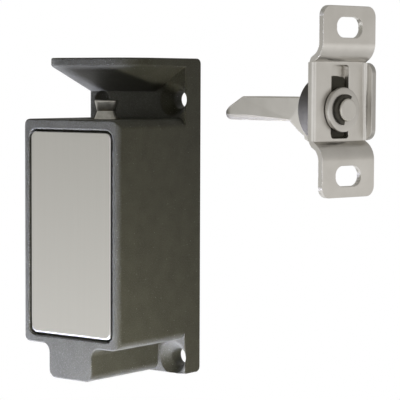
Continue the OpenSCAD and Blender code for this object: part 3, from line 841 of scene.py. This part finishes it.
def bar_edge(edge, middle):
    """How far an edge of the tongue is rounded, by its place."""
    p = in_keeper(middle)
    if abs(p.x - STUD_END) < 0.02:
        return 0.35 * MM
    if p.x > STUD_START:
        return 0.15 * MM
    if abs(p.x - HEEL_BACK) < 0.1 and abs(p.z - HEEL_LOW) < 0.05:
        return 0.8 * MM
    if abs(p.z - BAR_LOW) < 0.02 and p.x < HEEL_START:
        return 1.35 * MM
    if p.x > HEEL_START and abs(p.y) > BAR_HALF - 0.1 and p.z < BAR_LOW:
        return 0.7 * MM
    return 0.4 * MM


def tongue_piece():
    piece = copied_solid("tongue", "tongue_bar")
    without_bore(piece)
    flare = [(-15.5, -2.7), (-13.7, -4.3), (-12.6, -5.3), (-11.7, -5.85), (-9, -6), (-9, -2.7)]
    taper_x, taper_z, lean_x, lean_z = -15.2, -1.6, 0.089, -0.095
    joined(piece, drawn_out("heel_flare", flare, lambda x, z: (x, -BAR_HALF, z),
                            (0, 2 * BAR_HALF, 0)), "UNION")
    run = (SLOPE_BACK - SLOPE_TIP).normalized()
    sliced(piece, from_keeper(SLOPE_BACK), keeper_way((-run.z, 0, run.x)))
    for side in (-1, 1):
        sliced(piece, from_keeper((taper_x, side * BAR_HALF, taper_z)),
               keeper_way((lean_x, side, lean_z)))
    eased(piece, bar_edge, 6, edge_mat=WORN)
    joined(piece, bore_cutter(), "DIFFERENCE")
    piece.data.materials.append(satin_nickel("stud_nickel", 0.94))
    for face in piece.data.polygons:
        if in_keeper(face.center).x > STUD_END - 0.1:
            face.material_index = 2
    return smooth(piece)


dressed(tongue_piece(), NICKEL, "tongue", "tongue", "tongue")


# The rubber bumper, flatter than its solid
def bumper_piece():
    ease, flatter = 0.22 * MM, 0.86
    piece = copied_solid("keeper_bumper", "bumper_dome")
    front = Matrix.Translation((BUMPER_FRONT * MM, 0, 0))
    squeeze = Matrix.Scale(flatter, 4, (1, 0, 0))
    set_down(piece, DOOR @ front @ squeeze @ front.inverted() @ DOOR_BACK)
    eased(piece, lambda e, m: ease if e.is_convex else 0.0, 3)
    return smooth(piece)


dressed(bumper_piece(), RUBBER, "tongue", "keeper_bumper", "keeper_bumper")


# The washer and the open retaining ring, turned and laid on the stud; the ring's near-black colour is
# partly painted shade of the groove round the stud
def ring_piece(name, outer, back, front, soft):
    fine = soft * 0.3
    profile = [(STUD_R, back), (outer - soft, back), (outer - fine, back + fine),
               (outer, back + soft), (outer, front - soft), (outer - fine, front - fine),
               (outer - soft, front), (STUD_R + fine, front), (STUD_R, front - fine)]
    return turned(name, in_metres(profile), 96, closed=True)


def laid_on_stud(piece):
    set_down(piece, DOOR @ Matrix.Rotation(math.radians(90), 4, "Y"))
    return smooth(piece, 30)


def open_ring(piece, least, most):
    """Opens a turned ring between two angles and closes its ends."""
    def in_gap(face):
        middle = face.calc_center_median()
        return least < math.degrees(math.atan2(middle.y, middle.x)) < most

    emptied(piece, in_gap)
    bpy.ops.mesh.fill_holes(sides=0)
    faced_outwards()
    return piece


dressed(laid_on_stud(ring_piece("washer_disc", WASHER_R, WASHER_BACK, WASHER_FRONT, 0.45)),
        satin_nickel("washer_nickel", 0.86), "tongue", "keeper_washer", "keeper_washer")
# The clip is a real part, but its near-black colour and the turn of its gap also paint the shade in the
# groove round the stud
clip = ring_piece("ring_clip", CLIP_R, WASHER_FRONT, CLIP_FRONT, 0.2)
dressed(laid_on_stud(open_ring(clip, *CLIP_GAP)),
        plain_metal("blackened_steel_and_painted_shade", (0.05, 0.048, 0.042), (0.1, 0.094, 0.08), 0.45),
        "tongue", "retaining_ring", "retaining_ring")

# CAD solids that keep their shape get their finish
FINISHES = {
    "cover_gasket": moulded("gasket_foam", (0.02, 0.02, 0.02), (0.05, 0.05, 0.05), 0.8),
    "bolt_collar": plain_metal("collar_steel", (0.28, 0.28, 0.29), (0.4, 0.4, 0.4), 0.36),
    "armature": plain_metal("armature_iron", (0.4, 0.4, 0.41), (0.54, 0.54, 0.53), 0.38),
    "cross_pin": plain_metal("pin_steel", (0.5, 0.5, 0.5), (0.62, 0.62, 0.61), 0.28),
    "return_spring": plain_metal("spring_wire", (0.48, 0.48, 0.48), (0.62, 0.62, 0.61), 0.3),
    "bolt_bush": plain_metal("bearing_bronze", (0.46, 0.33, 0.14), (0.62, 0.46, 0.22), 0.4),
    "yoke": plain_metal("plated_strap", (0.5, 0.51, 0.53), (0.62, 0.62, 0.62), 0.34),
    "bobbin": moulded("bobbin_nylon", (0.025, 0.025, 0.027), (0.05, 0.05, 0.05), 0.48),
    "coil": wound_copper(),
    "pole_piece": plain_metal("pole_iron", (0.4, 0.4, 0.41), (0.54, 0.54, 0.53), 0.4),
    "stop_pad": black_rubber("pad_rubber"),
    "yoke_screws": plain_metal("screw_zinc", (0.52, 0.53, 0.55), (0.66, 0.66, 0.66), 0.3),
    "monitor_switch": moulded("switch_phenolic", (0.02, 0.02, 0.022), (0.045, 0.045, 0.045)),
    "switch_lever": plain_metal("lever_strip", (0.56, 0.56, 0.54), (0.7, 0.7, 0.68), 0.26),
    "driver_board": moulded("board_green", (0.012, 0.09, 0.04), (0.03, 0.16, 0.07), 0.4),
    "terminal_block": moulded("block_nylon", (0.02, 0.13, 0.05), (0.04, 0.2, 0.09), 0.45),
}
for node, mat in FINISHES.items():
    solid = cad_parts[node]
    solid.data.materials.clear()
    solid.data.materials.append(mat)

clear_selection()
